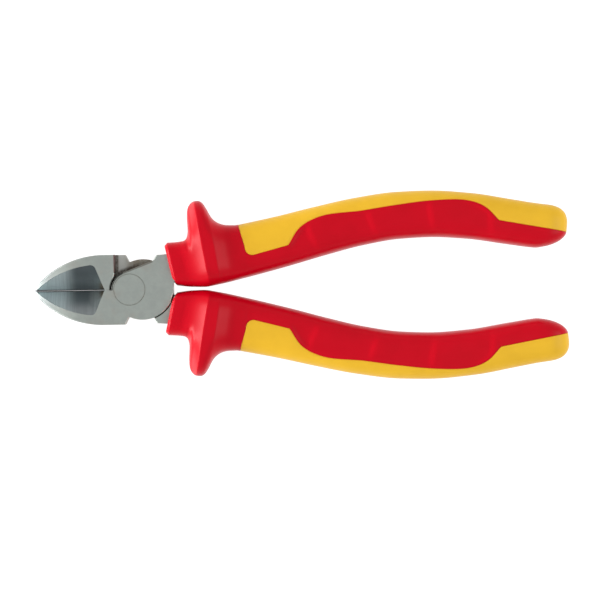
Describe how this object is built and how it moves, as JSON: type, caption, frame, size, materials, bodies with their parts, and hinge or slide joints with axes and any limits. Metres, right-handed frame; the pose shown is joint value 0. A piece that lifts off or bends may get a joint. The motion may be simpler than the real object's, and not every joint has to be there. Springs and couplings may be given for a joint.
{
  "type": "diagonal cutting pliers",
  "caption": "Insulated diagonal cutting pliers: riveted lap-joint head with bevelled jaws, curved two-colour grips with hand guards.",
  "frame": {"origin": "on the pivot axis, at the underside of the head, with the jaws closed", "axes": "+X from the pivot to the handle ends, +Y to the side of the upper handle, +Z along the pivot axis, towards the jaws' hollow-ground face"},
  "size_m": [0.1794, 0.0636, 0.022],
  "materials": {
    "lever_steel": "satin ground tool steel",
    "rivet_steel": "satin ground flush",
    "grip_core": "smooth moulded yellow plastic",
    "grip_cover": "soft satin red elastomer"
  },
  "bodies": {
    "fixed_half": {"back_lever": "lever_steel", "pivot_rivet": "rivet_steel", "lower_grip_core": "grip_core", "lower_grip_cover": "grip_cover"},
    "moving_half": {"front_lever": "lever_steel", "upper_grip_core": "grip_core", "upper_grip_cover": "grip_cover"}
  },
  "joints": [
    {"name": "jaw_hinge", "type": "hinge", "parent": "fixed_half", "child": "moving_half", "pos_m": [0, 0, 0.0055], "axis": [0, 0, 1], "range_deg": [0, 40]}
  ]
}
